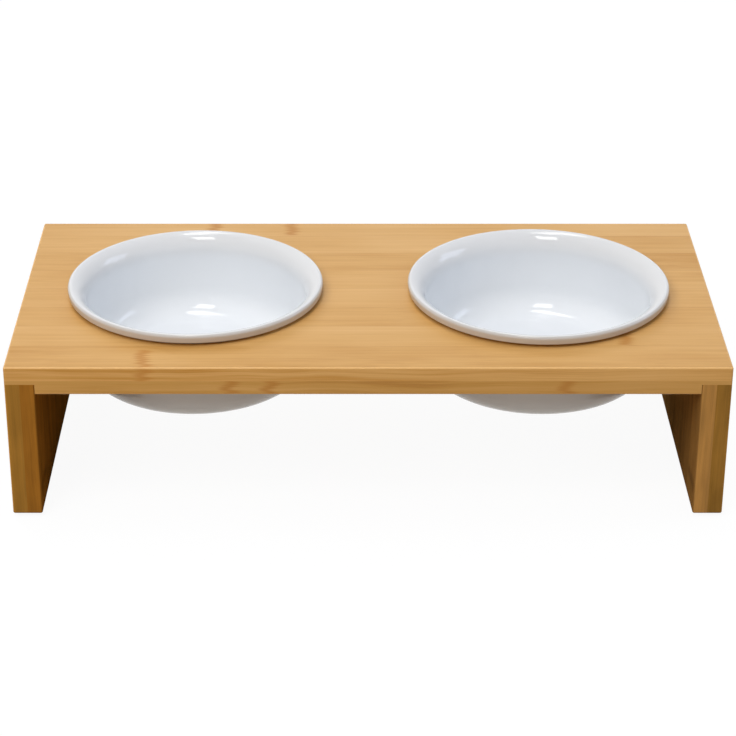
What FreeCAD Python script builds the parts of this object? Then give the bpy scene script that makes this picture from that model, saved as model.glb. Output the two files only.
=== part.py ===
import FreeCAD, Part
import math
import os
import Sketcher

# Elevated feeder: a two-ply bamboo board on two two-ply legs, with two glazed bowls hung in it by
# their lips. Millimetres. +X runs along the board, -Y is the front and +Z is up, and the origin is on
# the floor under the middle.

SIZES = {
    # Board
    "board_length": 360.0,
    "board_depth": 180.0,
    "stand_height": 85.0,
    "upper_ply": 7.5,
    "lower_ply": 7.5,
    "edge_round": 1.0,
    # Legs, which stand in a rabbet under the board's ends
    "leg_outer_ply": 7.5,
    "leg_inner_ply": 7.5,
    "rabbet_cover": 2.0,
    # Blind dowels between the legs and the board
    "dowel_diameter": 6.0,
    "dowel_length": 24.0,
    "dowel_upper_depth": 4.5,
    "dowel_inset": 26.0,
    "dowel_chamfer": 0.8,
    "dowel_clearance": 0.1,
    "dowel_end_gap": 0.5,
    # Anti-slip pads under the legs
    "pad_diameter": 10.0,
    "pad_thickness": 2.0,
    "pad_inset": 22.0,
    "pad_edge_round": 0.6,
    # Bowls
    "bowl_height": 52.4,
    "bowl_wall_radius": 62.8,
    "bowl_wall": 3.0,
    "bowl_draft_degrees": 2.3,
    "lip_overhang": 4.9,
    "lip_thickness": 4.7,
    "bowl_floor_height": 8.0,
    "inner_corner_radius": 15.0,
    "outer_corner_radius": 10.0,
    "foot_width": 6.0,
    "foot_recess": 2.5,
    # Seat of a bowl in its hole, and the bridge of wood between the holes: its share of the length
    # that they leave between the legs
    "bridge_share": 0.693,
    "hole_clearance": 0.4,
    "hole_edge_round": 0.3,
    "seat_clearance": 0.3,
}

# Sizes that follow from the driving ones
LEG_THICKNESS = "(Sizes.leg_outer_ply + Sizes.leg_inner_ply)"
LEG_TOP = "(Sizes.stand_height - Sizes.upper_ply - Sizes.rabbet_cover)"
LEG_HEIGHT = f"({LEG_TOP} - Sizes.pad_thickness)"
LEG_GLUE_LINE = "(Sizes.board_length / 2 - Sizes.leg_outer_ply)"
RABBET_DEPTH = "(Sizes.lower_ply - Sizes.rabbet_cover)"
CLEAR_SPAN = f"(Sizes.board_length - 2 * {LEG_THICKNESS})"
HALF_DEPTH = "(Sizes.board_depth / 2)"
HOLE_RADIUS = "(Sizes.bowl_wall_radius + Sizes.hole_clearance)"
BRIDGE = f"(Sizes.bridge_share * ({CLEAR_SPAN} - 4 * {HOLE_RADIUS}))"
BOWL_REACH = f"({BRIDGE} / 2 + {HOLE_RADIUS})"
DOWEL_HOLE_RADIUS = "(Sizes.dowel_diameter / 2 + Sizes.dowel_clearance)"
DOWEL_RISE = "(Sizes.rabbet_cover + Sizes.dowel_upper_depth)"
DOWEL_REACH = f"({HALF_DEPTH} - Sizes.dowel_inset)"
PAD_REACH = f"({HALF_DEPTH} - Sizes.pad_inset)"

# The lip's nose is a half circle, and a hollow arc under it runs into the outer wall. The bowl hangs
# where that arc lies one seat clearance from the rounded edge of its hole, so the lip stays clear of
# the board.
LIP_CENTRE = "(Sizes.bowl_wall_radius + Sizes.lip_overhang - Sizes.lip_thickness / 2)"
LIP_ROOT = "(Sizes.lip_overhang - Sizes.lip_thickness / 2)"
SEAT_ROOM = f"({LIP_ROOT} - Sizes.hole_edge_round)"
SEAT_DROP = f"sqrt(({SEAT_ROOM} - Sizes.seat_clearance)^2 - ({SEAT_ROOM} - Sizes.hole_clearance)^2)"
LIP_LIFT = f"({SEAT_ROOM} - {SEAT_DROP})"
BOWL_FOOT = f"(Sizes.stand_height + {LIP_LIFT} + Sizes.lip_thickness - Sizes.bowl_height)"

SIDES = {"left": -1, "right": 1}
ROWS = {"front": -1, "middle": 0, "back": 1}

# Sketch references: the points of a curve, the origin point, and the axis on which a coordinate is zero
START, END, CENTRE = range(1, 4)
ORIGIN = (-1, START)
ZERO_AXIS = {"X": ORIGIN[0] - 1, "Y": ORIGIN[0]}

doc = FreeCAD.newDocument("feeder")
sheet = doc.addObject("Spreadsheet::Sheet", "Sizes")
for row, (alias, value) in enumerate(SIZES.items(), start=1):
    sheet.set(f"A{row}", alias)
    sheet.set(f"B{row}", str(value))
    sheet.setAlias(f"B{row}", alias)
doc.recompute()
bodies = []


def size(expression):
    """Present value of an expression over the sheet."""
    return float(sheet.evalExpression(expression))


def new_body(label):
    """Empty body whose label names the piece."""
    body = doc.addObject("PartDesign::Body", label)
    body.Label = label
    bodies.append(body)
    return body


def place(body, **coordinates):
    """Bind the given coordinates of a body's place to expressions over the sheet."""
    for axis, expression in coordinates.items():
        body.setExpression(f"Placement.Base.{axis}", expression)


def sketch_on(body, role, height=None):
    """Sketch on one of a body's own origin planes, at a height above it if one is given."""
    sketch = body.newObject("Sketcher::SketchObject", f"{body.Name}_sketch")
    plane = next(feature for feature in body.Origin.OriginFeatures if feature.Role == role)
    sketch.AttachmentSupport = (plane, [""])
    sketch.MapMode = "FlatFace"
    if height:
        sketch.setExpression("AttachmentOffset.Base.z", height)
    return sketch


def dimension(sketch, kind, references, value, expression):
    """Add a dimension to a sketch and bind it to an expression over the sheet."""
    index = sketch.addConstraint(Sketcher.Constraint(kind, *references, value))
    sketch.setExpression(f"Constraints[{index}]", expression)


def bind(sketch, axis, point, expression):
    """Hold one coordinate of a sketch point at an expression over the sheet."""
    value = size(expression)
    if value == 0:
        sketch.addConstraint(Sketcher.Constraint("PointOnObject", *point, ZERO_AXIS[axis]))
    elif value > 0:
        dimension(sketch, f"Distance{axis}", (*ORIGIN, *point), value, expression)
    else:
        dimension(sketch, f"Distance{axis}", (*point, *ORIGIN), -value, f"-({expression})")


def outline(sketch, corners):
    """Closed outline of level and upright lines through corners given as pairs of expressions."""
    points = [FreeCAD.Vector(size(x), size(y), 0) for x, y in corners]
    ends = points[1:] + points[:1]
    lines = [sketch.addGeometry(Part.LineSegment(start, end)) for start, end in zip(points, ends)]
    for line, after in zip(lines, lines[1:] + lines[:1]):
        sketch.addConstraint(Sketcher.Constraint("Coincident", line, END, after, START))
    for line, (x, y), after in zip(lines, corners, corners[1:] + corners[:1]):
        if y == after[1]:
            sketch.addConstraint(Sketcher.Constraint("Horizontal", line))
            bind(sketch, "Y", (line, START), y)
        else:
            sketch.addConstraint(Sketcher.Constraint("Vertical", line))
            bind(sketch, "X", (line, START), x)


def circles(sketch, radius, centres):
    """Circles of one radius about centres given as pairs of expressions."""
    for x, y in centres:
        centre = FreeCAD.Vector(size(x), size(y), 0)
        ring = sketch.addGeometry(Part.Circle(centre, FreeCAD.Vector(0, 0, 1), size(radius)))
        dimension(sketch, "Radius", (ring,), size(radius), radius)
        bind(sketch, "X", (ring, CENTRE), x)
        bind(sketch, "Y", (ring, CENTRE), y)


def pad(body, sketch, length, side_type="One side"):
    """Pad of a sketch by a length."""
    feature = body.newObject("PartDesign::Pad", f"{body.Name}_pad")
    feature.Profile = sketch
    feature.SideType = side_type
    feature.setExpression("Length", length)
    doc.recompute()
    return feature


def pocket(body, sketch, depth=None, upwards=False):
    """Pocket of a sketch to a depth, or right through; it has to take material away."""
    before = body.Shape.Volume
    feature = body.newObject("PartDesign::Pocket", f"{body.Name}_pocket")
    feature.Profile = sketch
    feature.Reversed = upwards
    if depth:
        feature.setExpression("Length", depth)
    else:
        feature.Type = "ThroughAll"
    doc.recompute()
    if feature.Shape.Volume >= before:
        raise RuntimeError(f"{feature.Name} cuts nothing from {body.Label}")
    return feature


def edge_names(feature, test):
    """Names of the edges of a feature whose vertices pass a test."""
    edges = enumerate(feature.Shape.Edges, start=1)
    return [f"Edge{number}" for number, edge in edges if test([vertex.Point for vertex in edge.Vertexes])]


def all_at(points, axis, value):
    """Whether every point has this coordinate."""
    return all(math.isclose(point[axis], value, abs_tol=Part.Precision.confusion()) for point in points)


def is_upright(points):
    """Whether an edge's ends lie one above the other."""
    return len(points) > 1 and all_at(points, 0, points[0].x) and all_at(points, 1, points[0].y)


def ease_edges(body, feature, kind, amount, test):
    """Fillet or chamfer those edges of a feature whose vertices pass a test."""
    eased = body.newObject(f"PartDesign::{kind}", f"{body.Name}_{kind}")
    eased.Base = (feature, edge_names(feature, test))
    eased.setExpression("Radius" if kind == "Fillet" else "Size", amount)
    doc.recompute()
    return eased


def bowl_centres():
    """Centres of the two holes, on the middle line of the board."""
    return [(f"{side} * {BOWL_REACH}", "0") for side in SIDES.values()]


def dowel_centres(x_of_side):
    """Centres of the dowels of the legs, given the x of each leg's glue line."""
    return [(x, f"{row} * {DOWEL_REACH}") for x in x_of_side for row in ROWS.values()]


def board_dowel_centres():
    """Centres of all dowels in the board."""
    return dowel_centres([f"{side} * {LEG_GLUE_LINE}" for side in SIDES.values()])


def board_upper_ply():
    """Upper layer of the board: rounded outside, with the bowl holes and blind dowel holes from below."""
    body = new_body("top_board_upper_ply")
    half_length = "Sizes.board_length / 2"
    sketch = sketch_on(body, "XY_Plane")
    outline(sketch, [(f"-{half_length}", f"-{HALF_DEPTH}"), (half_length, f"-{HALF_DEPTH}"),
                     (half_length, HALF_DEPTH), (f"-{half_length}", HALF_DEPTH)])
    slab = pad(body, sketch, "Sizes.upper_ply")
    top = size("Sizes.upper_ply")

    def on_outside(ends):
        return is_upright(ends) or all_at(ends, 2, top)

    ease_edges(body, slab, "Fillet", "Sizes.edge_round", on_outside)
    sketch = sketch_on(body, "XY_Plane")
    circles(sketch, HOLE_RADIUS, bowl_centres())
    holes = pocket(body, sketch, upwards=True)
    radius = size(HOLE_RADIUS)
    centres = [size(x) for x, y in bowl_centres()]

    def on_hole_top(ends):
        reach = min(math.hypot(ends[0].x - centre, ends[0].y) for centre in centres)
        return all_at(ends, 2, top) and math.isclose(reach, radius, abs_tol=Part.Precision.confusion())

    ease_edges(body, holes, "Fillet", "Sizes.hole_edge_round", on_hole_top)
    sketch = sketch_on(body, "XY_Plane")
    circles(sketch, DOWEL_HOLE_RADIUS, board_dowel_centres())
    pocket(body, sketch, "Sizes.dowel_upper_depth + Sizes.dowel_end_gap", upwards=True)
    place(body, z="Sizes.stand_height - Sizes.upper_ply")


def board_lower_ply():
    """Lower layer of the board: rabbeted over the legs, with all its holes right through."""
    body = new_body("top_board_lower_ply")
    half_length = "Sizes.board_length / 2"
    half_span = f"({CLEAR_SPAN} / 2)"
    sketch = sketch_on(body, "XZ_Plane")
    outline(sketch, [(f"-{half_span}", "0"), (half_span, "0"), (half_span, RABBET_DEPTH),
                     (half_length, RABBET_DEPTH), (half_length, "Sizes.lower_ply"),
                     (f"-{half_length}", "Sizes.lower_ply"), (f"-{half_length}", RABBET_DEPTH),
                     (f"-{half_span}", RABBET_DEPTH)])
    slab = pad(body, sketch, "Sizes.board_depth", "Symmetric")
    end = size(half_length)
    front = size(HALF_DEPTH)

    def on_outside(ends):
        at_end = all_at(ends, 0, end) or all_at(ends, 0, -end)
        at_face = all_at(ends, 1, front) or all_at(ends, 1, -front)
        return at_face and (at_end or all_at(ends, 2, 0))

    ease_edges(body, slab, "Fillet", "Sizes.edge_round", on_outside)
    sketch = sketch_on(body, "XY_Plane")
    circles(sketch, HOLE_RADIUS, bowl_centres())
    circles(sketch, DOWEL_HOLE_RADIUS, board_dowel_centres())
    pocket(body, sketch, upwards=True)
    place(body, z="Sizes.stand_height - Sizes.upper_ply - Sizes.lower_ply")


def leg_ply(side_name, layer, outward):
    """One layer of a leg, on one side of the leg's glue line, with the halves of its dowel holes."""
    body = new_body(f"{side_name}_leg_{layer}_ply")
    face = f"{outward} * Sizes.leg_{layer}_ply"
    corners = [("0", f"-{HALF_DEPTH}"), (face, f"-{HALF_DEPTH}"), (face, HALF_DEPTH), ("0", HALF_DEPTH)]
    sketch = sketch_on(body, "XY_Plane")
    outline(sketch, corners)
    slab = pad(body, sketch, LEG_HEIGHT)

    def on_outside(ends):
        on_face = is_upright(ends) and all_at(ends, 0, size(face))
        return on_face or (all_at(ends, 2, 0) and not all_at(ends, 0, 0))

    ease_edges(body, slab, "Fillet", "Sizes.edge_round", on_outside)
    sketch = sketch_on(body, "XY_Plane", LEG_HEIGHT)
    circles(sketch, DOWEL_HOLE_RADIUS, dowel_centres(["0"]))
    pocket(body, sketch, f"Sizes.dowel_length - {DOWEL_RISE} + Sizes.dowel_end_gap")
    place(body, x=f"{SIDES[side_name]} * {LEG_GLUE_LINE}", z="Sizes.pad_thickness")


def leg_dowel(side_name, row_name):
    """Blind dowel with chamfered ends, from the leg into the board."""
    body = new_body(f"{side_name}_leg_dowel_{row_name}")
    sketch = sketch_on(body, "XY_Plane")
    circles(sketch, "Sizes.dowel_diameter / 2", [("0", "0")])
    pin = pad(body, sketch, "Sizes.dowel_length")
    ease_edges(body, pin, "Chamfer", "Sizes.dowel_chamfer", lambda ends: len(ends) == 1)
    place(body, x=f"{SIDES[side_name]} * {LEG_GLUE_LINE}", y=f"{ROWS[row_name]} * {DOWEL_REACH}",
          z=f"{LEG_TOP} + {DOWEL_RISE} - Sizes.dowel_length")


def foot_pad(side_name, row_name):
    """Round anti-slip pad under a leg, with its lower edge rounded."""
    body = new_body(f"{side_name}_{row_name}_pad")
    sketch = sketch_on(body, "XY_Plane")
    circles(sketch, "Sizes.pad_diameter / 2", [("0", "0")])
    disc = pad(body, sketch, "Sizes.pad_thickness")

    def on_floor(ends):
        return len(ends) == 1 and all_at(ends, 2, 0)

    ease_edges(body, disc, "Fillet", "Sizes.pad_edge_round", on_floor)
    place(body, x=f"{SIDES[side_name]} * (Sizes.board_length - {LEG_THICKNESS}) / 2",
          y=f"{ROWS[row_name]} * {PAD_REACH}")


class BowlSection:
    """Half section of a bowl on its foot, drawn at the sheet's sizes before it is bound to them."""

    def __init__(self, sketch):
        """Draw and bind the section in a sketch whose upright axis is the bowl's axis."""
        self.sketch = sketch
        self.draft = math.radians(size("Sizes.bowl_draft_degrees"))
        self.lip = FreeCAD.Vector(size(LIP_CENTRE), size("Sizes.bowl_height - Sizes.lip_thickness / 2"), 0)
        self.outward = FreeCAD.Vector(math.cos(self.draft), -math.sin(self.draft), 0)
        self.root_centre = self.lip - FreeCAD.Vector(0, size(f"Sizes.lip_thickness / 2 + {LIP_ROOT}"), 0)
        self.wall_point = self.root_centre - self.outward * size(LIP_ROOT)
        self.draw()
        self.join()
        self.bind()

    def corner_centre(self, height, depth):
        """Centre of a corner arc at a height, at a depth inside the outer wall."""
        rise = height - self.wall_point.y
        across = (rise * math.sin(self.draft) - depth) / math.cos(self.draft)
        return FreeCAD.Vector(self.wall_point.x + across, height, 0)

    def line(self, start, end):
        """Line between two points."""
        return self.sketch.addGeometry(Part.LineSegment(start, end))

    def arc(self, centre, radius, start_angle, end_angle):
        """Arc that turns to the left from its start to its end."""
        circle = Part.Circle(centre, FreeCAD.Vector(0, 0, 1), radius)
        return self.sketch.addGeometry(Part.ArcOfCircle(circle, start_angle, end_angle))

    def draw(self):
        """Draw the section in order: from the axis up the inside, over the lip and down the outside."""
        quarter = math.pi / 2
        wall = size("Sizes.bowl_wall")
        floor = size("Sizes.bowl_floor_height")
        recess = size("Sizes.foot_recess")
        inner = size("Sizes.inner_corner_radius")
        outer = size("Sizes.outer_corner_radius")
        nose = size("Sizes.lip_thickness / 2")
        root = size(LIP_ROOT)
        top = self.lip + FreeCAD.Vector(0, nose, 0)
        rise = top.y - self.wall_point.y
        lean = math.sin(self.draft)
        roll = (root * (1 - lean * lean) + wall - rise * lean) / (1 - lean)
        roll_centre = top - FreeCAD.Vector(0, roll, 0)
        inner_centre = self.corner_centre(floor + inner, wall + inner)
        outer_centre = self.corner_centre(outer, outer)
        foot_outside = FreeCAD.Vector(outer_centre.x, 0, 0)
        foot_inside = foot_outside - FreeCAD.Vector(size("Sizes.foot_width"), 0, 0)
        recess_edge = foot_inside + FreeCAD.Vector(-recess, recess, 0)
        recess_middle = FreeCAD.Vector(0, recess, 0)
        floor_middle = FreeCAD.Vector(0, floor, 0)
        floor_edge = FreeCAD.Vector(inner_centre.x, floor, 0)
        self.axis = self.line(recess_middle, floor_middle)
        self.floor = self.line(floor_middle, floor_edge)
        self.inner_corner = self.arc(inner_centre, inner, -quarter, -self.draft)
        self.inner_wall = self.line(inner_centre + self.outward * inner, roll_centre - self.outward * roll)
        self.roll = self.arc(roll_centre, roll, quarter, math.pi - self.draft)
        self.nose = self.arc(self.lip, nose, -quarter, quarter)
        self.root = self.arc(self.root_centre, root, quarter, math.pi - self.draft)
        self.outer_wall = self.line(self.wall_point, outer_centre + self.outward * outer)
        self.outer_corner = self.arc(outer_centre, outer, -quarter, -self.draft)
        self.foot = self.line(foot_outside, foot_inside)
        self.bevel = self.line(foot_inside, recess_edge)
        self.recess = self.line(recess_edge, recess_middle)

    def join(self):
        """Join the pieces end to end, smoothly except at the axis and on the foot."""
        joints = [
            ("Coincident", self.axis, END, self.floor, START),
            ("Tangent", self.floor, END, self.inner_corner, START),
            ("Tangent", self.inner_corner, END, self.inner_wall, START),
            ("Tangent", self.inner_wall, END, self.roll, END),
            ("Tangent", self.roll, START, self.nose, END),
            ("Tangent", self.nose, START, self.root, START),
            ("Tangent", self.root, END, self.outer_wall, START),
            ("Tangent", self.outer_wall, END, self.outer_corner, END),
            ("Tangent", self.outer_corner, START, self.foot, START),
            ("Coincident", self.foot, END, self.bevel, START),
            ("Coincident", self.bevel, END, self.recess, START),
            ("Coincident", self.recess, END, self.axis, START),
            ("Horizontal", self.floor),
            ("Horizontal", self.foot),
            ("Horizontal", self.recess),
            ("Vertical", self.axis),
            ("Vertical", self.nose, START, self.nose, CENTRE),
            ("Vertical", self.nose, END, self.nose, CENTRE),
            ("Parallel", self.inner_wall, self.outer_wall),
        ]
        for kind, *references in joints:
            self.sketch.addConstraint(Sketcher.Constraint(kind, *references))

    def bind(self):
        """Bind the section's sizes to the sheet."""
        sketch = self.sketch
        bind(sketch, "X", (self.axis, START), "0")
        bind(sketch, "Y", (self.foot, START), "0")
        bind(sketch, "X", (self.nose, CENTRE), LIP_CENTRE)
        bind(sketch, "Y", (self.nose, END), "Sizes.bowl_height")
        bind(sketch, "Y", (self.floor, START), "Sizes.bowl_floor_height")
        bind(sketch, "Y", (self.recess, END), "Sizes.foot_recess")
        dimensions = [
            ("Radius", (self.root,), LIP_ROOT),
            ("Radius", (self.inner_corner,), "Sizes.inner_corner_radius"),
            ("Radius", (self.outer_corner,), "Sizes.outer_corner_radius"),
            ("Distance", (self.inner_wall, START, self.outer_wall), "Sizes.bowl_wall"),
            ("DistanceY", (self.nose, START, self.nose, END), "Sizes.lip_thickness"),
            ("DistanceX", (self.foot, END, self.foot, START), "Sizes.foot_width"),
            ("DistanceX", (self.bevel, END, self.bevel, START), "Sizes.foot_recess"),
        ]
        for kind, references, expression in dimensions:
            dimension(sketch, kind, references, size(expression), expression)
        upright = "90 deg - Sizes.bowl_draft_degrees * 1 deg"
        dimension(sketch, "Angle", (self.inner_wall,), math.pi / 2 - self.draft, upright)


def bowl(side_name):
    """Glazed bowl, turned about its axis, hung in its hole."""
    body = new_body(f"{side_name}_bowl")
    sketch = sketch_on(body, "XZ_Plane")
    BowlSection(sketch)
    turned = body.newObject("PartDesign::Revolution", f"{body.Name}_turned")
    turned.Profile = sketch
    turned.ReferenceAxis = (sketch, ["V_Axis"])
    doc.recompute()
    if not sketch.FullyConstrained:
        raise RuntimeError(f"{body.Label}: its section isn't fully constrained")
    place(body, x=f"{SIDES[side_name]} * {BOWL_REACH}", z=BOWL_FOOT)


def check_document():
    """Stop if anything in the document failed, or a piece isn't one sound solid."""
    for item in doc.Objects:
        if "Invalid" in item.State or "Error" in item.State:
            raise RuntimeError(f"{item.Label} failed: {item.State}")
    for body in bodies:
        if body.Shape.isNull() or not body.Shape.isValid():
            raise RuntimeError(f"{body.Label} has no valid shape")
        if len(body.Shape.Solids) != 1:
            raise RuntimeError(f"{body.Label} has {len(body.Shape.Solids)} solids")


def main():
    """Build every piece, check the document and write the pieces."""
    board_upper_ply()
    board_lower_ply()
    for side_name, side in SIDES.items():
        leg_ply(side_name, "outer", side)
        leg_ply(side_name, "inner", -side)
        for row_name in ROWS:
            leg_dowel(side_name, row_name)
        for row_name in ("front", "back"):
            foot_pad(side_name, row_name)
        bowl(side_name)
    doc.recompute()
    check_document()
    os.makedirs("parts", exist_ok=True)
    for body in bodies:
        body.Shape.exportStep(f"parts/{body.Label}.step")
        print(f"{body.Label}: {body.Shape.Volume:.1f} mm3")
    print(f"lip underside above the board: {size(LIP_LIFT):.2f} mm")


main()
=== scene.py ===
import logging
import math
from collections.abc import Sequence
from dataclasses import dataclass
from enum import Enum

import bpy
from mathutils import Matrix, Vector


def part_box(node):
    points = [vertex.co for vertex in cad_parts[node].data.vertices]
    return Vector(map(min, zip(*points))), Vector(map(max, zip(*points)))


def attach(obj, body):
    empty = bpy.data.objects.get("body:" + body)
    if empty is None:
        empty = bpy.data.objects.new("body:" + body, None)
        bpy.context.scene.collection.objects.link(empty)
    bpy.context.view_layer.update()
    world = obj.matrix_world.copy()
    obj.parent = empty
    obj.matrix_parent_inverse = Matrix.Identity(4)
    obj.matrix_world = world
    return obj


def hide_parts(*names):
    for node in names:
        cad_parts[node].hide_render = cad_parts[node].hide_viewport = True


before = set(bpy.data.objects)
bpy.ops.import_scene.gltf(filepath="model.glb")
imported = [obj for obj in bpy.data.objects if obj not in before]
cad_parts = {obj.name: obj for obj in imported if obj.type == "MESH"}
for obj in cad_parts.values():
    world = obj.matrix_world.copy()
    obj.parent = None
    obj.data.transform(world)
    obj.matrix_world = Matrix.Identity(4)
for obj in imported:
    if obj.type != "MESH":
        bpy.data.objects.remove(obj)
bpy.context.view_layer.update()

# Elevated feeder in metres: a two-ply bamboo board on two-ply legs, with two white glazed bowls hung in it.
# +X runs along the board, -Y is the front and +Z is up.

MM = 0.001
QUARTER_TURN = math.pi / 2
PHOTO_PIXELS = 736
WHITE = (1.0, 1.0, 1.0, 1.0)
log = logging.getLogger("feeder")

Span = tuple[float, float]
Point = tuple[float, float, float]
Feed = bpy.types.NodeSocket | float | Sequence[float]


class Worded(Enum):
    """Choice whose name is also a word in the names of the pieces."""

    @property
    def word(self) -> str:
        """Give the name in small letters."""
        return self.name.lower()


class Side(Worded):
    """End of the stand; the value is the sign of its x."""

    LEFT = -1
    RIGHT = 1


class Row(Worded):
    """Place across the stand; the value is the sign of its y."""

    FRONT = -1
    MIDDLE = 0
    BACK = 1


class Layer(Worded):
    """Ply of a leg, counted from the end of the stand."""

    OUTER = 0
    INNER = 1


class Fibres(Enum):
    """Way the fibres of a ply run; the value lists the axes along, across and through them."""

    ALONG_BOARD = ("X", "Y", "Z")
    UP_LEG = ("Z", "Y", "X")
    UP_DOWEL = ("Z", "X", "Y")


@dataclass(frozen=True)
class Colour:
    """Colour as it looks on a screen, with each part from 0 to 255."""

    red: float
    green: float
    blue: float

    def linear(self) -> tuple[float, float, float, float]:
        """Work out the light that the colour stands for.

        Returns:
            Linear red, green and blue, and full alpha.
        """
        parts = [part / 255 for part in (self.red, self.green, self.blue)]
        light = [part / 12.92 if part <= 0.04045 else ((part + 0.055) / 1.055) ** 2.4 for part in parts]
        return (*light, 1.0)

    def scaled(self, share: float) -> "Colour":
        """Give a lighter or darker shade of the colour."""
        return Colour(*(min(part * share, 255) for part in (self.red, self.green, self.blue)))


class FinishGraph:
    """Node tree of one finish, with short calls for the nodes that the finishes share."""

    def __init__(self, owner: bpy.types.Material | bpy.types.World) -> None:
        """Start an empty tree.

        Args:
            owner: New material or surroundings that the tree belongs to.
        """
        owner.use_nodes = True
        self.owner = owner
        self.tree = owner.node_tree
        self.tree.nodes.clear()

    @classmethod
    def of_finish(cls, name: str) -> "FinishGraph":
        """Start the tree of a new material with this name."""
        return cls(bpy.data.materials.new(name))

    def node(self, kind: str, feeds: dict[str | int, Feed], **settings: object) -> bpy.types.Node:
        """Add a node.

        Args:
            kind: Type of the node, without its common prefix.
            feeds: Socket or constant for each of its inputs that is set.
            settings: Values of its other properties.

        Returns:
            The new node.
        """
        made = self.tree.nodes.new(f"ShaderNode{kind}")
        for name, value in settings.items():
            setattr(made, name, value)
        for key, feed in feeds.items():
            if isinstance(feed, bpy.types.NodeSocket):
                self.tree.links.new(feed, made.inputs[key])
            else:
                made.inputs[key].default_value = feed
        return made

    def math(self, operation: str, *terms: Feed) -> bpy.types.NodeSocket:
        """Work out one number.

        Args:
            operation: Name of the operation.
            terms: Its terms, in order.

        Returns:
            Socket of the result.
        """
        return self.node("Math", dict(enumerate(terms)), operation=operation).outputs[0]

    def vector(self, operation: str, *terms: Feed) -> bpy.types.NodeSocket:
        """Work out one vector.

        Args:
            operation: Name of the operation.
            terms: Its terms, in order.

        Returns:
            Socket of the result.
        """
        return self.node("VectorMath", dict(enumerate(terms)), operation=operation).outputs[0]

    def total(self, *terms: Feed) -> bpy.types.NodeSocket:
        """Add up several numbers.

        Args:
            terms: The numbers.

        Returns:
            Socket of their sum.
        """
        added = terms[0]
        for term in terms[1:]:
            added = self.math("ADD", added, term)
        return added

    def step(self, value: Feed, low: float, high: float,
             start: float = 0.0, end: float = 1.0) -> bpy.types.NodeSocket:
        """Ease from one level to another while a value passes a span.

        Args:
            value: The value.
            low: Where the span starts.
            high: Where the span ends.
            start: Level at and before the start of the span.
            end: Level at and after the end of the span.

        Returns:
            Socket of the level.
        """
        feeds = {"Value": value, "From Min": low, "From Max": high, "To Min": start, "To Max": end}
        return self.node("MapRange", feeds, interpolation_type="SMOOTHSTEP").outputs[0]

    def noise(self, place: Feed, size: float = 1.0,
              detail: float = 2.0, roughness: float = 0.5) -> bpy.types.NodeSocket:
        """Smooth noise about one half.

        Args:
            place: Place that the noise is read at.
            size: Size of its features.
            detail: Number of finer layers.
            roughness: Weight of each finer layer.

        Returns:
            Socket of the noise.
        """
        feeds = {"Vector": place, "Scale": 1 / size, "Detail": detail, "Roughness": roughness}
        return self.node("TexNoise", feeds).outputs[0]

    def swing(self, value: Feed, amount: Feed) -> bpy.types.NodeSocket:
        """Turn a value about one half into a swing about zero.

        Args:
            value: The value.
            amount: Swing for a value of one.

        Returns:
            Socket of the swing.
        """
        return self.math("MULTIPLY", self.math("SUBTRACT", value, 0.5), amount)

    def blend(self, factor: Feed, first: Feed, second: Feed,
              mode: str = "MIX") -> bpy.types.NodeSocket:
        """Mix two colours.

        Args:
            factor: Share of the second colour.
            first: First colour.
            second: Second colour.
            mode: Way of mixing.

        Returns:
            Socket of the mixed colour.
        """
        feeds = {0: factor, 6: first, 7: second}
        return self.node("Mix", feeds, data_type="RGBA", blend_type=mode).outputs[2]

    def ramp(self, value: Feed,
             stops: Sequence[tuple[float, Colour]]) -> bpy.types.NodeSocket:
        """Look a colour up on a scale.

        Args:
            value: Place on the scale, from 0 to 1.
            stops: Places and colours of the scale.

        Returns:
            Socket of the colour.
        """
        made = self.node("ValToRGB", {0: value})
        elements = made.color_ramp.elements
        for element, (place, colour) in zip(elements, (stops[0], stops[-1])):
            element.position = place
            element.color = colour.linear()
        for place, colour in stops[1:-1]:
            elements.new(place).color = colour.linear()
        return made.outputs[0]

    def place(self) -> bpy.types.NodeSocket:
        """Give the place of a point in its own piece, in metres."""
        return self.node("TexCoord", {}).outputs["Object"]

    def facing(self) -> bpy.types.NodeSocket:
        """Give the direction that the surface faces, in its own piece's axes."""
        return self.node("TexCoord", {}).outputs["Normal"]

    def parts(self, vector: Feed) -> dict[str, bpy.types.NodeSocket]:
        """Split a vector.

        Args:
            vector: The vector.

        Returns:
            Socket of each of its parts, by axis.
        """
        return dict(zip("XYZ", self.node("SeparateXYZ", {0: vector}).outputs))

    def bump(self, height: Feed, depth: float, strength: float) -> bpy.types.NodeSocket:
        """Turn a height into a bent normal.

        Args:
            height: Height, from about 0 to 1.
            depth: Real depth of a height of one.
            strength: Share of the depth that is used.

        Returns:
            Socket of the normal.
        """
        feeds = {"Height": height, "Distance": depth, "Strength": strength}
        return self.node("Bump", feeds).outputs[0]

    def close(self, feeds: dict[str | int, Feed]) -> bpy.types.Material:
        """Put the shader and the output in place.

        Args:
            feeds: Socket or constant for each input of the shader that is set.

        Returns:
            The finished material.
        """
        shader = self.node("BsdfPrincipled", feeds)
        self.node("OutputMaterial", {"Surface": shader.outputs[0]})
        return self.owner


@dataclass(frozen=True)
class BambooTones:
    """Colours of a ply, from its palest fibres to its growth rings."""

    pale: Colour
    middle: Colour
    deep: Colour
    ring: Colour

    @classmethod
    def shades(cls, middle: Colour, pale: float, deep: float, ring: float) -> "BambooTones":
        """Make all the colours shades of one.

        Args:
            middle: Colour of most of the fibres.
            pale: Lightness of the palest fibres, as a share of the middle's.
            deep: Lightness of the deepest fibres.
            ring: Lightness of the growth rings.

        Returns:
            The colours.
        """
        return cls(middle.scaled(pale), middle, middle.scaled(deep), middle.scaled(ring))


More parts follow.
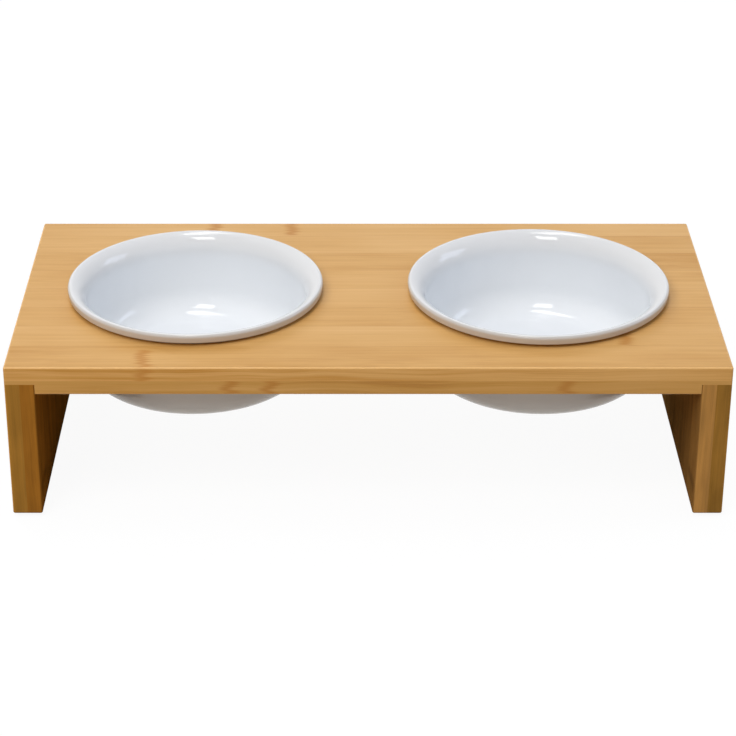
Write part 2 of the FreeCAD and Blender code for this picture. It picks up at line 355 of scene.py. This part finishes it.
@dataclass(frozen=True)
class BambooFinish:
    """Satin lacquered bamboo: edge-glued strips of fine fibres with a growth ring here and there, with
    painted light on its sawn sides and a painted highlight along its edges.

    Rings are places along and across the fibres. A swing, like the streaks on faces and sides, says how far
    a layer of the grain moves the tone, which runs from 0 for the deepest colour to 1 for the palest. A turn
    is the span of a surface's facing over which one kind of surface passes into another.
    """

    name: str
    fibres: Fibres
    tones: BambooTones
    seed: float
    rings: tuple[Span, ...]
    strip_width: float = 23 * MM
    strip_shift: float = 3 * MM
    strip_swing: float = 0.26
    fibre_length: float = 34 * MM
    fibre_width: float = 0.45 * MM
    fibre_swing: float = 0.5
    streak_length: float = 110 * MM
    streak_width: float = 2.4 * MM
    streak_detail: float = 3.0
    face_streaks: float = 0.6
    side_streaks: float = 1.5
    drift_length: float = 90 * MM
    drift_width: float = 30 * MM
    drift_swing: float = 0.9
    bows_per_metre: float = 14.0
    bow_depth: float = 6 * MM
    seam_width: float = 0.22 * MM
    seam_share: float = 0.45
    seam_breaks: Span = (0.35, 0.65)
    seam_trace: float = 0.2
    ring_length: float = 3.2 * MM
    ring_fade: float = 2.5 * MM
    ring_fray: float = 14 * MM
    ring_share: float = 0.75
    side_turn: Span = (0.8, 0.3)
    # Painted light: the sawn sides are painted lighter or darker than the faces by this share.
    painted_side_light: float = 1.0
    # Painted highlight: a pale line painted along the rounded edges, where they would catch the light.
    arris_inner_turn: Span = (0.998, 0.9)
    arris_outer_turn: Span = (0.05, 0.4)
    arris_highlight_share: float = 0.75
    arris_highlight_gain: float = 1.1
    end_turn: Span = (0.5, 1.0)
    end_share: float = 0.6
    roughness: float = 0.43
    fibre_roughness: float = 0.25
    ring_roughness: float = 0.06
    end_roughness: float = 0.45
    fibre_relief: float = 0.6
    streak_relief: float = 0.5
    seam_relief: float = -0.8
    relief_depth: float = 0.06 * MM
    relief_strength: float = 0.35
    specular: float = 0.3
    coat: float = 0.03
    coat_roughness: float = 0.3

    def material(self) -> bpy.types.Material:
        """Build the finish.

        Returns:
            The material.
        """
        graph = FinishGraph.of_finish(self.name)
        parts = graph.parts(graph.place())
        along, across, through = (parts[axis] for axis in self.fibres.value)
        count = graph.math("DIVIDE", graph.math("SUBTRACT", across, self.strip_shift), self.strip_width)
        number = graph.math("ADD", graph.math("FLOOR", count), self.seed)
        strip = graph.node("TexWhiteNoise", {"W": number}, noise_dimensions="1D")
        bow = graph.swing(graph.noise(graph.place(), 1 / self.bows_per_metre), self.bow_depth)
        start = graph.node("CombineXYZ", {0: along, 1: across, 2: graph.math("ADD", through, bow)}).outputs[0]
        grain = graph.vector("ADD", start, strip.outputs["Color"])

        def layer(length: float, width: float, detail: float = 2.0) -> bpy.types.NodeSocket:
            """Noise drawn out along the fibres."""
            drawn = graph.vector("MULTIPLY", grain, (1 / length, 1 / width, 1 / width))
            return graph.noise(drawn, detail=detail)

        fibre = layer(self.fibre_length, self.fibre_width)
        streak = layer(self.streak_length, self.streak_width, self.streak_detail)
        drift = layer(self.drift_length, self.drift_width)
        tone = graph.total(
            0.5,
            graph.swing(strip.outputs["Value"], self.strip_swing),
            graph.swing(fibre, self.fibre_swing),
            graph.swing(streak, graph.step(self.squareness(graph), *self.side_turn,
                                           self.face_streaks, self.side_streaks)),
            graph.swing(drift, self.drift_swing),
        )
        colour = graph.ramp(tone, [(0.0, self.tones.deep), (0.5, self.tones.middle), (1.0, self.tones.pale)])
        fray = graph.total(graph.swing(streak, self.ring_fray), graph.swing(fibre, self.ring_fray / 2))
        ring = self.ring_mask(graph, along, across, fray)
        ring_colour = self.tones.ring.linear()
        colour = graph.blend(graph.math("MULTIPLY", ring, self.ring_share), colour, ring_colour)
        colour = self.paint_side_light_and_highlight(graph, colour)
        seam = self.seam_mask(graph, count, streak)
        colour = graph.blend(graph.math("MULTIPLY", seam, self.seam_share), colour, ring_colour, "MULTIPLY")
        end = self.end_mask(graph)
        colour = graph.blend(graph.math("MULTIPLY", end, self.end_share), colour, self.tones.deep.linear())
        height = graph.total(graph.swing(fibre, self.fibre_relief), graph.swing(streak, self.streak_relief),
                             graph.math("MULTIPLY", seam, self.seam_relief))
        rough = graph.total(self.roughness, graph.swing(fibre, self.fibre_roughness),
                            graph.math("MULTIPLY", ring, self.ring_roughness),
                            graph.math("MULTIPLY", end, self.end_roughness))
        return graph.close({
            "Base Color": colour,
            "Roughness": rough,
            "Specular IOR Level": self.specular,
            "Coat Weight": self.coat,
            "Coat Roughness": self.coat_roughness,
            "Normal": graph.bump(height, self.relief_depth, self.relief_strength),
        })

    def squareness(self, graph: FinishGraph) -> bpy.types.NodeSocket:
        """Tell the faces of the ply from its sawn sides.

        Args:
            graph: Node tree of the finish.

        Returns:
            Socket that is one on the faces and falls to zero on the sides.
        """
        return graph.math("ABSOLUTE", graph.parts(graph.facing())[self.fibres.value[2]])

    def paint_side_light_and_highlight(self, graph: FinishGraph, colour: Feed) -> bpy.types.NodeSocket:
        """Paint the sawn sides of the ply lighter or darker than its faces, for how light falls on them, and
        paint a pale highlight along its edges.

        Args:
            graph: Node tree of the finish.
            colour: Colour of the ply's faces.

        Returns:
            Socket of the colour.
        """
        square = self.squareness(graph)
        # Painted light: sides painted lighter or darker than the faces, for how light falls on them.
        gain = graph.step(square, *self.side_turn, 1.0, self.painted_side_light)
        gains = graph.node("CombineXYZ", {0: gain, 1: gain, 2: gain}).outputs[0]
        lit = graph.vector("MULTIPLY", colour, gains)
        # Painted highlight: a pale line along the rounded edges between faces and sides.
        arris = graph.math("MULTIPLY", graph.step(square, *self.arris_outer_turn),
                           graph.step(square, *self.arris_inner_turn))
        arris_highlight = self.tones.pale.scaled(self.arris_highlight_gain)
        return graph.blend(graph.math("MULTIPLY", arris, self.arris_highlight_share), lit, arris_highlight.linear())

    def ring_mask(self, graph: FinishGraph, along: Feed, across: Feed,
                  fray: Feed) -> bpy.types.NodeSocket:
        """Find the growth rings.

        Args:
            graph: Node tree of the finish.
            along: Place along the fibres.
            across: Place across the fibres.
            fray: Distance along the fibres by which a ring strays.

        Returns:
            Socket of a mask that is one in the middle of a ring.
        """
        frayed = graph.math("ADD", along, fray)
        half_length = self.ring_length + self.ring_fade
        half_strip = self.strip_width / 2
        mask: Feed = 0.0
        for ring_along, ring_across in self.rings:
            off_along = graph.math("ABSOLUTE", graph.math("SUBTRACT", frayed, ring_along))
            off_across = graph.math("ABSOLUTE", graph.math("SUBTRACT", across, ring_across))
            near = graph.math("MULTIPLY", graph.step(off_along, half_length, 0.0),
                              graph.step(off_across, half_strip, half_strip - self.ring_fade))
            mask = graph.math("MAXIMUM", mask, near)
        return mask

    def seam_mask(self, graph: FinishGraph, count: Feed, streak: Feed) -> bpy.types.NodeSocket:
        """Find the glue seams between the strips.

        Args:
            graph: Node tree of the finish.
            count: Place across the fibres, counted in strips.
            streak: Noise that lets a seam come and go.

        Returns:
            Socket of a mask that is one on a seam.
        """
        off_seam = graph.math("MULTIPLY", graph.math("PINGPONG", count, 0.5), self.strip_width)
        line = graph.step(off_seam, self.seam_width, 0.0)
        return graph.math("MULTIPLY", line, graph.step(streak, *self.seam_breaks, self.seam_trace, 1.0))

    def end_mask(self, graph: FinishGraph) -> bpy.types.NodeSocket:
        """Find the ends of the fibres.

        Args:
            graph: Node tree of the finish.

        Returns:
            Socket of a mask that rises where the surface cuts the fibres square.
        """
        facing = graph.parts(graph.facing())[self.fibres.value[0]]
        return graph.step(graph.math("ABSOLUTE", facing), *self.end_turn)


@dataclass(frozen=True)
class GlazeFinish:
    """White glaze over stoneware, glossiest where it lay level, with a bare foot, its inside painted a little
    cooler for cool light.

    The lip is painted a shade darker, as painted shade, coming in between two depths below the rim. A darker,
    warmer painted shade on its outer edge is told by a reach: how far a surface faces outwards, times its
    distance from the bowl's axis.
    """

    name: str
    # Painted light: the inside is a little cooler for cool light, the lip a shade darker as painted shade.
    inside: Colour = Colour(233, 235, 237)
    lip: Colour = Colour(226, 225, 224)
    # Painted shade: the lip's outer face darker and warmer, for shade under the rim and light bounced off the
    # wood.
    edge: Colour = Colour(206, 201, 195)
    bare: Colour = Colour(214, 203, 186)
    lip_shade_depths: Span = (14 * MM, 3 * MM)
    edge_shade_reach: Span = (20 * MM, 45 * MM)
    glaze_line: float = 1.6 * MM
    glaze_line_wave: float = 1.2 * MM
    glaze_line_blur: float = 0.4 * MM
    wave_size: float = 26 * MM
    wave_depth: float = 0.1 * MM
    wave_strength: float = 0.2
    steep_turn: Span = (0.5, 0.2)
    roughness: float = 0.05
    steep_roughness: float = 0.17
    bare_roughness: float = 0.45
    ior: float = 1.5

    def material(self, bowl_height: float) -> bpy.types.Material:
        """Build the finish for a bowl that stands on its own origin.

        Args:
            bowl_height: Height of the bowl.

        Returns:
            The material.
        """
        graph = FinishGraph.of_finish(self.name)
        place = graph.place()
        height = graph.parts(place)["Z"]
        wave = graph.noise(place, self.wave_size, 0.0)
        # Painted shade: the rim is painted a shade darker than the cooler inside.
        rim_shade_mask = graph.step(height, *(bowl_height - depth for depth in self.lip_shade_depths))
        colour = graph.blend(rim_shade_mask, self.inside.linear(), self.lip.linear())
        # Painted shade: the lip's outward-facing edge is painted darker and warmer.
        level = graph.vector("MULTIPLY", place, (1.0, 1.0, 0.0))
        turned_out = graph.node("VectorMath", {0: graph.facing(), 1: level}, operation="DOT_PRODUCT")
        edge_shade_mask = graph.step(turned_out.outputs["Value"], *self.edge_shade_reach)
        colour = graph.blend(graph.math("MULTIPLY", rim_shade_mask, edge_shade_mask), colour, self.edge.linear())
        wavy = graph.math("ADD", height, graph.swing(wave, self.glaze_line_wave))
        bare = graph.step(wavy, self.glaze_line, self.glaze_line - self.glaze_line_blur)
        colour = graph.blend(bare, colour, self.bare.linear())
        steep = graph.step(graph.parts(graph.facing())["Z"], *self.steep_turn)
        rough = graph.total(self.roughness, graph.math("MULTIPLY", steep, self.steep_roughness),
                            graph.math("MULTIPLY", bare, self.bare_roughness))
        return graph.close({
            "Base Color": colour,
            "Roughness": rough,
            "IOR": self.ior,
            "Normal": graph.bump(wave, self.wave_depth, self.wave_strength),
        })


@dataclass(frozen=True)
class RubberFinish:
    """Matt moulded rubber."""

    name: str
    colour: Colour = Colour(44, 43, 42)
    worn: Colour = Colour(66, 64, 62)
    worn_span: Span = (0.45, 0.75)
    speck_size: float = 0.5 * MM
    speck_detail: float = 3.0
    speck_fineness: float = 0.6
    roughness: float = 0.6
    roughness_swing: float = 0.3
    specular: float = 0.3
    relief_depth: float = 0.05 * MM
    relief_strength: float = 0.5

    def material(self) -> bpy.types.Material:
        """Build the finish.

        Returns:
            The material.
        """
        graph = FinishGraph.of_finish(self.name)
        speck = graph.noise(graph.place(), self.speck_size, self.speck_detail, self.speck_fineness)
        worn = graph.step(speck, *self.worn_span)
        return graph.close({
            "Base Color": graph.blend(worn, self.colour.linear(), self.worn.linear()),
            "Roughness": graph.math("ADD", self.roughness, graph.swing(speck, self.roughness_swing)),
            "Specular IOR Level": self.specular,
            "Normal": graph.bump(speck, self.relief_depth, self.relief_strength),
        })


@dataclass(frozen=True)
class LegPly:
    """One ply of a leg, with the colour of most of its fibres.

    Its painted side light is how much lighter or darker its sawn sides are painted than its faces, for how
    light falls on them.
    """

    side: Side
    layer: Layer
    middle: Colour
    painted_side_light: float
    seed: float
    rings: tuple[Span, ...] = ((0.016, -0.0775), (0.052, 0.0145), (0.034, 0.0605))

    @property
    def name(self) -> str:
        """Words that the names of the ply and its finish start with."""
        return f"{self.side.word}_leg_{self.layer.word}"

    def finish(self) -> BambooFinish:
        """Give the finish of the ply: dull, with short drifts of colour.

        Returns:
            The finish.
        """
        tones = BambooTones.shades(self.middle, pale=1.12, deep=0.82, ring=0.8)
        return BambooFinish(f"{self.name}_bamboo", Fibres.UP_LEG, tones, self.seed, self.rings,
                            drift_length=34 * MM, drift_width=9 * MM, drift_swing=1.15, ring_fray=5 * MM,
                            painted_side_light=self.painted_side_light, side_streaks=0.7, arris_highlight_share=0.1,
                            specular=0.0, coat=0.0)


@dataclass
class Woodwork:
    """Board, legs and dowels: sound as they are in the frame, so they are only dressed."""

    upper_tones: BambooTones = BambooTones(
        pale=Colour(223, 178, 116),
        middle=Colour(210, 161, 94),
        deep=Colour(188, 133, 58),
        ring=Colour(184, 123, 52),
    )
    upper_rings: tuple[Span, ...] = (
        (-0.112, -0.0805), (0.131, -0.0545), (-0.084, 0.0835), (-0.041, 0.0835),
    )
    lower_tones: BambooTones = BambooTones(
        pale=Colour(212, 162, 92),
        middle=Colour(200, 148, 74),
        deep=Colour(172, 114, 44),
        ring=Colour(184, 123, 52),
    )
    lower_rings: tuple[Span, ...] = (
        (-0.069, -0.0885), (-0.049, -0.0885), (0.098, -0.0885), (0.03, 0.0375), (-0.12, 0.0835),
    )
    leg_plies: tuple[LegPly, ...] = (
        # Each ply's sides are painted lighter or darker than its faces, for how light falls on them.
        LegPly(Side.LEFT, Layer.OUTER, Colour(203, 147, 65), painted_side_light=0.65, seed=20.0),
        LegPly(Side.LEFT, Layer.INNER, Colour(154, 102, 37), painted_side_light=1.35, seed=23.0),
        LegPly(Side.RIGHT, Layer.OUTER, Colour(203, 149, 69), painted_side_light=0.65, seed=26.0),
        LegPly(Side.RIGHT, Layer.INNER, Colour(156, 114, 61), painted_side_light=1.73, seed=29.0),
    )
    beech: Colour = Colour(214, 178, 134)

    def dress_board(self) -> None:
        """Give the two plies of the board their finishes."""
        # Both board plies get sides painted lighter than their faces, standing in for the light on the front
        # edges.
        upper = BambooFinish("board_upper_bamboo", Fibres.ALONG_BOARD, self.upper_tones,
                             seed=3.0, rings=self.upper_rings, painted_side_light=1.25)
        lower = BambooFinish("board_lower_bamboo", Fibres.ALONG_BOARD, self.lower_tones,
                             seed=11.0, rings=self.lower_rings, painted_side_light=1.09)
        put_finish("top_board_upper_ply", upper.material())
        put_finish("top_board_lower_ply", lower.material())

    def dress_legs(self) -> None:
        """Give the plies of the legs their finishes."""
        for ply in self.leg_plies:
            put_finish(f"{ply.name}_ply", ply.finish().material())

    def dress_dowels(self) -> None:
        """Give the dowels their finish."""
        tones = BambooTones.shades(self.beech, pale=1.06, deep=0.9, ring=0.82)
        turned = BambooFinish("dowel_beech", Fibres.UP_DOWEL, tones,
                              seed=51.0, rings=(), fibre_width=0.3 * MM)
        beech = turned.material()
        for side in Side:
            for row in Row:
                put_finish(f"{side.word}_leg_dowel_{row.word}", beech)

    def dress(self) -> None:
        """Give every wooden piece its finish."""
        self.dress_board()
        self.dress_legs()
        self.dress_dowels()


@dataclass
class Feet:
    """Anti-slip pads under the legs."""

    finish: RubberFinish = RubberFinish("pad_rubber")

    def dress(self) -> None:
        """Give every pad its finish."""
        rubber = self.finish.material()
        for side in Side:
            for row in (Row.FRONT, Row.BACK):
                put_finish(f"{side.word}_{row.word}_pad", rubber)


@dataclass(frozen=True)
class RimWave:
    """Wave round a rim: how often it dips, its share of the whole dip and where it starts."""

    count: int
    share: float
    phase: float

    def dip(self, turn: float) -> float:
        """Give the share by which the rim dips at an angle about the axis."""
        return self.share * (1 - math.cos(self.count * turn + self.phase))


@dataclass
class Bowl:
    """Glazed bowl, turned about its own axis, with the small unevenness of fired clay.

    The spread of the rim is what its radius has over the frame's.
    """

    side: Side
    rim_spread: float
    wall: float
    draft: float = math.radians(2.3)
    lip_overhang: float = 4.9 * MM
    lip_thickness: float = 4.7 * MM
    floor_height: float = 8 * MM
    inner_corner: float = 15 * MM
    outer_corner: float = 13 * MM
    foot_width: float = 6 * MM
    foot_recess: float = 2.5 * MM
    rim_round: float = 1.7 * MM
    rim_tilt: float = math.radians(22)
    face_slant: float = math.radians(9)
    edge_round: float = 0.7 * MM
    rim_sag: float = 0.12 * MM
    sag_waves: tuple[RimWave, ...] = (
        RimWave(count=2, share=0.3, phase=0.7),
        RimWave(count=3, share=0.2, phase=2.1),
    )
    rim_oval: float = 0.072 * MM
    oval_wave: RimWave = RimWave(count=2, share=0.5, phase=1.9 + math.pi)
    rounds: int = 320
    arc_steps: int = 14
    middle_steps: int = 10

    @property
    def node(self) -> str:
        """Name of the frame's node that the bowl stands for."""
        return f"{self.side.word}_bowl"

    def arc(self, centre: Vector, radius: float, start: float, end: float) -> list[Vector]:
        """Points of an arc of the section.

        Args:
            centre: Centre of the arc.
            radius: Radius of the arc.
            start: Angle of its first point.
            end: Angle of its last point.

        Returns:
            The points, in order.
        """
        angles = [start + (end - start) * step / self.arc_steps for step in range(self.arc_steps + 1)]
        return [centre + radius * Vector((math.cos(angle), math.sin(angle))) for angle in angles]

    def section(self, radius: float, height: float) -> list[Vector]:
        """Half section of the bowl, from the middle of its floor over the lip to the middle of its underside.

        Args:
            radius: Radius over the lip.
            height: Height of the bowl.

        Returns:
            Points as radius and height above the foot.
        """
        lip = self.lip(radius, height)
        inner_corner = self.corner(lip[-1], self.wall, self.floor_height, self.inner_corner)
        outer_corner = self.corner(lip[-1], depth=0.0, level=0.0, rounding=self.outer_corner)[::-1]
        foot_inside = outer_corner[-1].x - self.foot_width
        recess_edge = foot_inside - self.foot_recess
        foot = [Vector((foot_inside, 0.0)), Vector((recess_edge, self.foot_recess))]
        shares = [step / self.middle_steps for step in range(self.middle_steps)]
        floor = [Vector((inner_corner[0].x * share, self.floor_height)) for share in shares]
        below = [Vector((recess_edge * share, self.foot_recess)) for share in reversed(shares)]
        inner_wall = self.fill(inner_corner[-1], lip[0])
        outer_wall = self.fill(lip[-1], outer_corner[0])
        return [*floor, *inner_corner, *inner_wall, *lip, *outer_wall, *outer_corner, *foot, *below]

    def lip(self, radius: float, height: float) -> list[Vector]:
        """Section of the lip, from the inner wall over the flare, the rim and its edge to the outer wall.

        Args:
            radius: Radius over the lip.
            height: Height of the bowl.

        Returns:
            Points as radius and height above the foot.
        """
        # Hollow between the underside and the outer wall
        nose = self.lip_thickness / 2
        root = self.lip_overhang + self.rim_spread - nose
        underside = height - self.lip_thickness
        root_centre = Vector((radius - nose, underside - root))
        root_arc = self.arc(root_centre, root, QUARTER_TURN, math.pi - self.draft)

        # Rim, round from the flare to the face
        rim = Vector((radius - self.rim_round, height - self.rim_round))
        rim_start = QUARTER_TURN + self.rim_tilt
        rim_arc = self.arc(rim, self.rim_round, rim_start, -self.face_slant)

        # Flare that leaves the inner wall and meets the rim without a kink
        upward = Vector((-math.sin(self.rim_tilt), math.cos(self.rim_tilt)))
        outward = Vector((math.cos(self.draft), -math.sin(self.draft)))
        lean = math.sin(self.rim_tilt + self.draft)
        reach = self.wall - (root_arc[-1] - rim).dot(outward) - self.rim_round * lean
        flare = reach / (1 - lean)
        flare_centre = rim + (self.rim_round - flare) * upward
        flare_arc = self.arc(flare_centre, flare, math.pi - self.draft, rim_start)

        # Edge between the slanted face and the underside
        face = Vector((math.cos(self.face_slant), -math.sin(self.face_slant)))
        edge_start = rim_arc[-1] - self.edge_round * face
        drop = (edge_start.y - underside - self.edge_round) / face.x
        edge_centre = edge_start + drop * Vector((face.y, -face.x))
        edge_arc = self.arc(edge_centre, self.edge_round, -self.face_slant, -QUARTER_TURN)
        return [*flare_arc, *rim_arc[1:], *edge_arc, *root_arc]

    def corner(self, wall_top: Vector, depth: float, level: float, rounding: float) -> list[Vector]:
        """Arc of the section that leads from a level stretch up into a wall.

        Args:
            wall_top: Top of the outer wall.
            depth: How deep inside the outer wall's surface the wall lies.
            level: Height of the level stretch.
            rounding: Radius of the arc.

        Returns:
            The points, from the level stretch to the wall.
        """
        middle = level + rounding
        lean = (middle - wall_top.y) * math.sin(self.draft)
        across = (lean - depth - rounding) / math.cos(self.draft)
        return self.arc(Vector((wall_top.x + across, middle)), rounding, -QUARTER_TURN, -self.draft)

    def fill(self, start: Vector, end: Vector) -> list[Vector]:
        """Points between the ends of a straight stretch.

        Args:
            start: Its start.
            end: Its end.

        Returns:
            The points between them.
        """
        return [start.lerp(end, step / self.arc_steps) for step in range(1, self.arc_steps)]

    def build(self) -> bpy.types.Object:
        """Turn the section, bend it a little and set the bowl in its place.

        Returns:
            The bowl.
        """
        low, high = (Vector(corner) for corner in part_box(self.node))
        height = high.z - low.z
        section = self.section((high.x - low.x) / 2 + self.rim_spread, height)
        inner, *turned, outer = section
        points = [(0.0, 0.0, inner.y)]
        for place in turned:
            for turn in range(self.rounds):
                points.append(self.bent(place, 2 * math.pi * turn / self.rounds, height))
        points.append((0.0, 0.0, outer.y))
        mesh = bpy.data.meshes.new(f"{self.node}_glazed")
        mesh.from_pydata(points, [], self.faces(len(turned)))
        mesh.shade_smooth()
        bowl = bpy.data.objects.new(f"{self.node}_glazed", mesh)
        bpy.context.scene.collection.objects.link(bowl)
        bowl.location = ((low.x + high.x) / 2, (low.y + high.y) / 2, low.z)
        return bowl

    def bent(self, place: Vector, angle: float, height: float) -> Point:
        """One point of the turned section, with the uneven sag and the slight oval of a fired rim.

        Args:
            place: Radius and height in the section.
            angle: Angle about the axis.
            height: Height of the bowl.

        Returns:
            The point.
        """
        share = (place.y / height) ** 2
        turn = self.side.value * angle
        sag = self.rim_sag * sum(wave.dip(turn) for wave in self.sag_waves)
        radius = place.x - share * self.rim_oval * self.oval_wave.dip(turn)
        return (radius * math.cos(angle), radius * math.sin(angle), place.y - share * sag)

    def faces(self, rings: int) -> list[list[int]]:
        """Faces of the turned section.

        Args:
            rings: Number of rings of points between the two middle points.

        Returns:
            Faces as lists of point numbers, facing outwards.
        """
        made = []
        last = rings * self.rounds + 1
        for turn in range(self.rounds):
            after = (turn + 1) % self.rounds
            made.append([0, 1 + turn, 1 + after])
            for ring in range(rings - 1):
                near = 1 + ring * self.rounds
                far = near + self.rounds
                made.append([near + turn, far + turn, far + after, near + after])
            near = 1 + (rings - 1) * self.rounds
            made.append([near + turn, last, near + after])
        return made

    def dress(self, bowl: bpy.types.Object, finish: GlazeFinish) -> None:
        """Glaze the bowl and tie it to the frame.

        Args:
            bowl: The bowl.
            finish: Its glaze.
        """
        low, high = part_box(self.node)
        bowl.data.materials.append(finish.material(high[2] - low[2]))
        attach(bowl, self.node)
        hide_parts(self.node)


@dataclass(frozen=True)
class PhotoCamera:
    """Camera at the photograph's viewpoint."""

    place: Point = (-0.0107, -1.1235, 0.6060)
    pitch_down: float = math.radians(26.76)
    focal_pixels: float = 2351.7
    axis_pixel: float = 346.5
    sensor: float = 36.0

    def build(self) -> bpy.types.Object:
        """Place the camera and make it the scene's.

        Returns:
            The camera.
        """
        lens = bpy.data.cameras.new("photo_camera")
        lens.sensor_fit = "HORIZONTAL"
        lens.sensor_width = self.sensor
        lens.lens = self.focal_pixels / PHOTO_PIXELS * self.sensor
        lens.shift_x = 0.5 - self.axis_pixel / PHOTO_PIXELS
        camera = bpy.data.objects.new("photo_camera", lens)
        camera.location = self.place
        camera.rotation_euler = (QUARTER_TURN - self.pitch_down, 0, 0)
        bpy.context.scene.collection.objects.link(camera)
        bpy.context.scene.camera = camera
        return camera


@dataclass(frozen=True)
class Softbox:
    """Rectangular studio lamp that points at the middle of the feeder; a mirrored one shows in gloss."""

    name: str
    place: Point
    width: float
    length: float
    watts: float
    colour: Colour = Colour(255, 253, 250)
    mirrored: bool = True
    target: Point = (0.0, 0.0, 0.05)

    def build(self) -> bpy.types.Object:
        """Hang the lamp.

        Returns:
            The lamp.
        """
        lamp = bpy.data.lights.new(self.name, "AREA")
        lamp.shape = "RECTANGLE"
        lamp.size = self.width
        lamp.size_y = self.length
        lamp.energy = self.watts
        lamp.color = self.colour.linear()[:3]
        holder = bpy.data.objects.new(self.name, lamp)
        holder.location = self.place
        holder.visible_glossy = self.mirrored
        aim = Vector(self.target) - Vector(self.place)
        holder.rotation_euler = aim.to_track_quat("-Z", "Y").to_euler()
        bpy.context.scene.collection.objects.link(holder)
        return holder


@dataclass(frozen=True)
class Studio:
    """Pale floor, plain surroundings and soft lamps.

    The floor and the surroundings look white to the camera and in gloss, and light the feeder less than that:
    the floor by its bounce, the surroundings by a dim level low down that rises to the ambient one overhead.
    """

    floor_half: float = 6.0
    floor_drop: float = 0.05 * MM
    floor_glow: float = 0.94
    floor_share: float = 0.07
    bounce: Colour = Colour(184, 170, 152)
    ambient: float = 0.62
    dim_ambient: float = 0.09
    dim_level: float = 0.05
    sky: Colour = Colour(236, 243, 255)
    softboxes: tuple[Softbox, ...] = (
        Softbox("back_strip", (-0.5, 1.05, 6.5), width=1.2, length=2.8, watts=62.0),
        Softbox("front_strip", (-0.66, -2.6, 5.9), width=1.5, length=1.8, watts=74.0),
        Softbox("back_fill", (-1.3, 2.2, 1.7), width=1.0, length=1.0, watts=18.0, mirrored=False),
        Softbox("front_fill", (-0.75, -1.0, 1.15), width=0.9, length=0.8, watts=8.8, mirrored=False),
        Softbox("right_fill", (1.7, 0.2, 0.85), width=0.9, length=0.7, watts=5.5,
                colour=Colour(218, 232, 255)),
    )

    def seen(self, graph: FinishGraph) -> bpy.types.NodeSocket:
        """Tell apart the rays that see the backdrop.

        Args:
            graph: Node tree of the floor or the surroundings.

        Returns:
            Socket that is one for rays from the camera and from gloss and glass.
        """
        path = graph.node("LightPath", {})
        shown = [path.outputs[f"Is {kind} Ray"] for kind in ("Camera", "Glossy", "Transmission")]
        return graph.math("MAXIMUM", graph.math("MAXIMUM", shown[0], shown[1]), shown[2])

    def build_floor(self) -> bpy.types.Object:
        """Lay the floor.

        Returns:
            The floor.
        """
        reach = self.floor_half
        mesh = bpy.data.meshes.new("floor")
        corners = [(-reach, -reach, 0), (reach, -reach, 0), (reach, reach, 0), (-reach, reach, 0)]
        mesh.from_pydata(corners, [], [range(len(corners))])
        floor = bpy.data.objects.new("floor", mesh)
        floor.location.z = -self.floor_drop
        bpy.context.scene.collection.objects.link(floor)
        graph = FinishGraph.of_finish("pale_floor")
        glow = graph.node("Emission", {"Color": WHITE, "Strength": self.floor_glow})
        share = self.floor_share
        matt = graph.node("BsdfDiffuse", {"Color": (share, share, share, 1)})
        shown = graph.node("AddShader", {0: glow.outputs[0], 1: matt.outputs[0]})
        hidden = graph.node("BsdfDiffuse", {"Color": self.bounce.linear()})
        mixed = graph.node("MixShader", {0: self.seen(graph), 1: hidden.outputs[0], 2: shown.outputs[0]})
        graph.node("OutputMaterial", {"Surface": mixed.outputs[0]})
        mesh.materials.append(graph.owner)
        return floor

    def build_surroundings(self) -> None:
        """Make the surroundings white to see and dimmer as light."""
        world = bpy.data.worlds.new("surroundings")
        bpy.context.scene.world = world
        graph = FinishGraph(world)
        height = graph.parts(graph.node("TexCoord", {}).outputs["Generated"])["Z"]
        strength = graph.step(height, self.dim_level, 1.0, self.dim_ambient, self.ambient)
        lit = graph.node("Background", {"Color": self.sky.linear(), "Strength": strength})
        white = graph.node("Background", {"Color": WHITE, "Strength": 1.0})
        mixed = graph.node("MixShader", {0: self.seen(graph), 1: lit.outputs[0], 2: white.outputs[0]})
        graph.node("OutputWorld", {"Surface": mixed.outputs[0]})

    def build(self) -> None:
        """Build the floor, the surroundings and the lamps."""
        bpy.context.scene.view_settings.view_transform = "Standard"
        self.build_floor()
        self.build_surroundings()
        for softbox in self.softboxes:
            softbox.build()


def put_finish(node: str, material: bpy.types.Material) -> None:
    """Give a piece of the frame its finish.

    Args:
        node: Name of the piece.
        material: The finish.
    """
    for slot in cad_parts[node].material_slots:
        slot.material = material
    log.info("%s: %s", node, material.name)


def main() -> None:
    """Build the camera, the studio and every piece."""
    logging.basicConfig(level=logging.INFO, format="%(message)s")
    PhotoCamera().build()
    Studio().build()
    Woodwork().dress()
    Feet().dress()
    bowls = (Bowl(Side.LEFT, rim_spread=-0.8 * MM, wall=5.0 * MM),
             Bowl(Side.RIGHT, rim_spread=0.8 * MM, wall=3.8 * MM))
    for bowl in bowls:
        made = bowl.build()
        bowl.dress(made, GlazeFinish(f"{bowl.side.word}_white_glaze"))
        log.info("%s: %d points", made.name, len(made.data.vertices))


if __name__ == "__main__":
    main()
